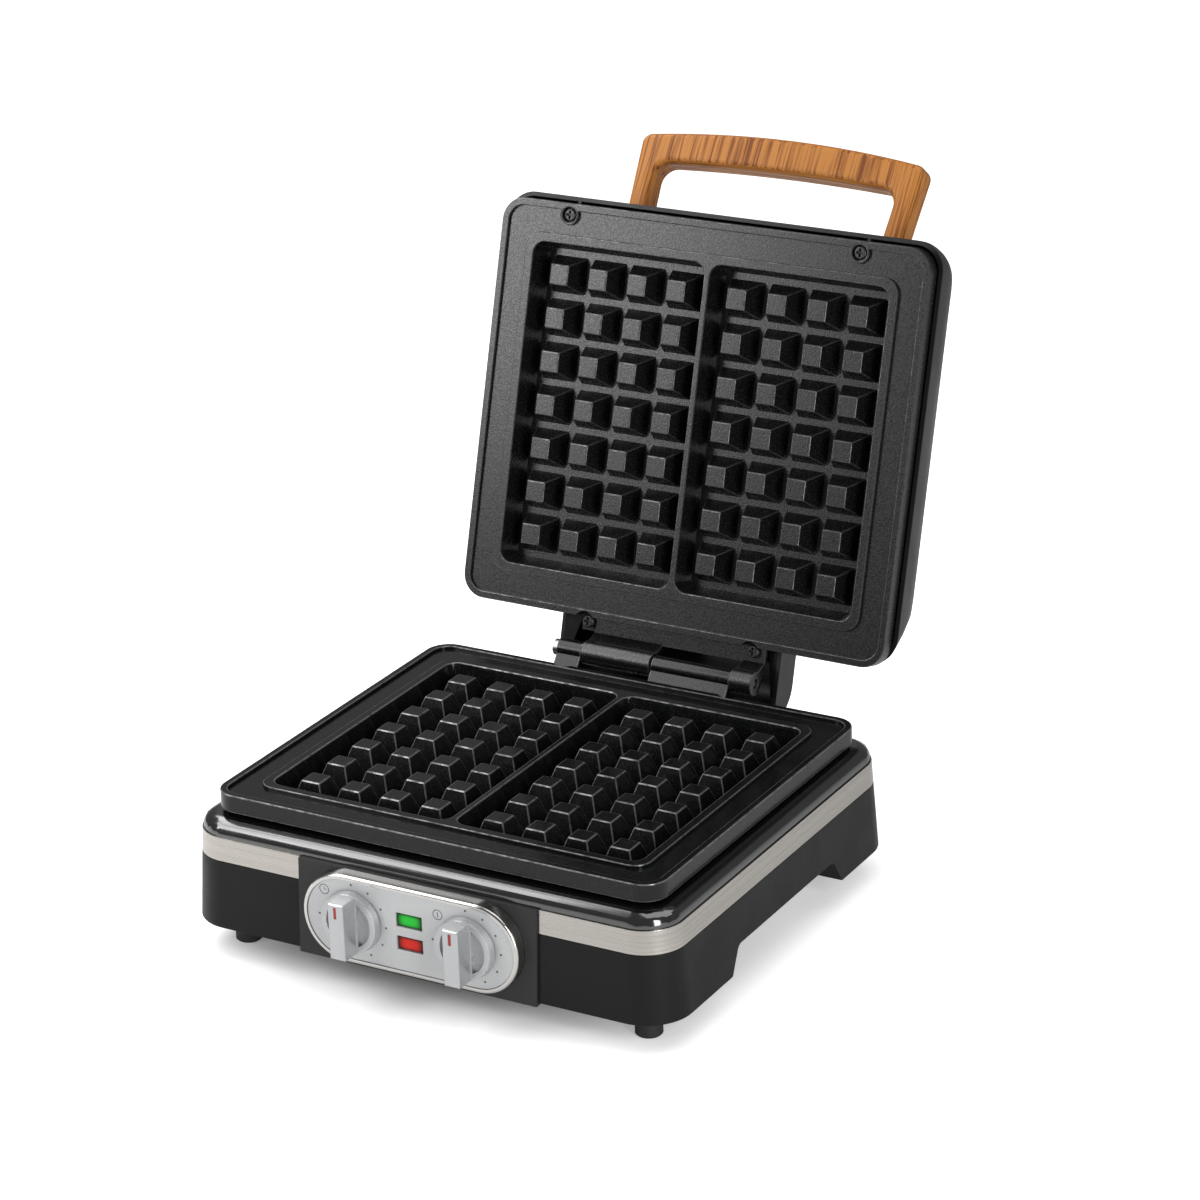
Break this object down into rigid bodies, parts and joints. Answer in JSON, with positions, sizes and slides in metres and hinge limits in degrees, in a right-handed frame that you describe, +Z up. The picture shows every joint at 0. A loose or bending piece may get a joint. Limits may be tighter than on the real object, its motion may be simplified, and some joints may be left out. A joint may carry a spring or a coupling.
{
  "type": "waffle maker",
  "caption": "Countertop waffle maker with a hinged lid, cast waffle plates, a silver control panel with knobs and lamps, and a bow handle.",
  "frame": {"origin": "on the table, in the plane of the feet, under the middle of the open appliance", "axes": "+X to the user's right, +Y to the back (hinge side), +Z up"},
  "size_m": [0.2824, 0.439, 0.3381],
  "materials": {
    "shell": "satin black moulding, lightly grained",
    "lid": "satin black moulding",
    "gloss": "high-gloss black",
    "band": "stainless steel, brushed lengthwise",
    "panel": "matt black",
    "ring": "polished",
    "fascia": "silver paint with dark printed marks",
    "knob": "satin silver coating",
    "mark": "dark red inlay",
    "green_lens": "clear green, lit",
    "red_lens": "clear red, lit",
    "lamp_glass": "clear",
    "coating": "black non-stick coating with fine sparkle on cast aluminium",
    "heater": "heat-darkened steel sheath",
    "reflector": "bright sheet",
    "inner_steel": "plain steel",
    "inner_plastic": "natural moulding",
    "copper": "drawn tube",
    "terminal": "natural moulding",
    "fuse": "glass-fibre sleeve",
    "screw": "black-finished steel",
    "foot": "matt black",
    "gland": "matt black",
    "handle_wood": "satin wood grain"
  },
  "bodies": {
    "base": {"lower_shell": "shell", "bottom_cover": "shell", "foot_front_left": "foot", "foot_front_right": "foot", "foot_rear_left": "foot", "foot_rear_right": "foot", "upper_bezel": "gloss", "band_left": "band", "band_right": "band", "control_panel": "panel", "control_bracket": "inner_steel", "fascia_bezel": "ring", "fascia_plate": "fascia", "ready_lens": "green_lens", "power_lens": "red_lens", "lamp_holder": "inner_plastic", "ready_lamp": "lamp_glass", "power_lamp": "lamp_glass", "timer_body": "inner_plastic", "thermostat_body": "inner_plastic", "thermostat_bulb": "copper", "lower_plate": "coating", "lower_heater": "heater", "lower_reflector": "reflector", "hinge_pin": "inner_steel", "hinge_housing": "shell", "cable_gland": "gland", "terminal_block": "terminal", "thermal_fuse": "fuse", "lower_plate_screws": "screw", "cover_screws": "screw"},
    "lid": {"upper_plate": "coating", "upper_heater": "heater", "upper_reflector": "reflector", "upper_plate_screws": "screw", "lid_shell": "lid", "handle": "handle_wood", "handle_screws": "screw"},
    "timer": {"timer_knob": "knob", "timer_shaft": "inner_steel", "timer_mark": "mark"},
    "thermostat": {"thermostat_knob": "knob", "thermostat_shaft": "inner_steel", "thermostat_mark": "mark"}
  },
  "joints": [
    {"name": "lid_hinge", "type": "hinge", "parent": "base", "child": "lid", "pos_m": [0, 0.0556, 0.085], "axis": [1, 0, 0], "range_deg": [0, 106.6]},
    {"name": "timer_turn", "type": "hinge", "parent": "base", "child": "timer", "pos_m": [-0.033, -0.2039, 0.041], "axis": [0, 1, 0], "range_deg": [0, 270]},
    {"name": "thermostat_turn", "type": "hinge", "parent": "base", "child": "thermostat", "pos_m": [0.033, -0.2039, 0.041], "axis": [0, 1, 0], "range_deg": [0, 270]}
  ]
}
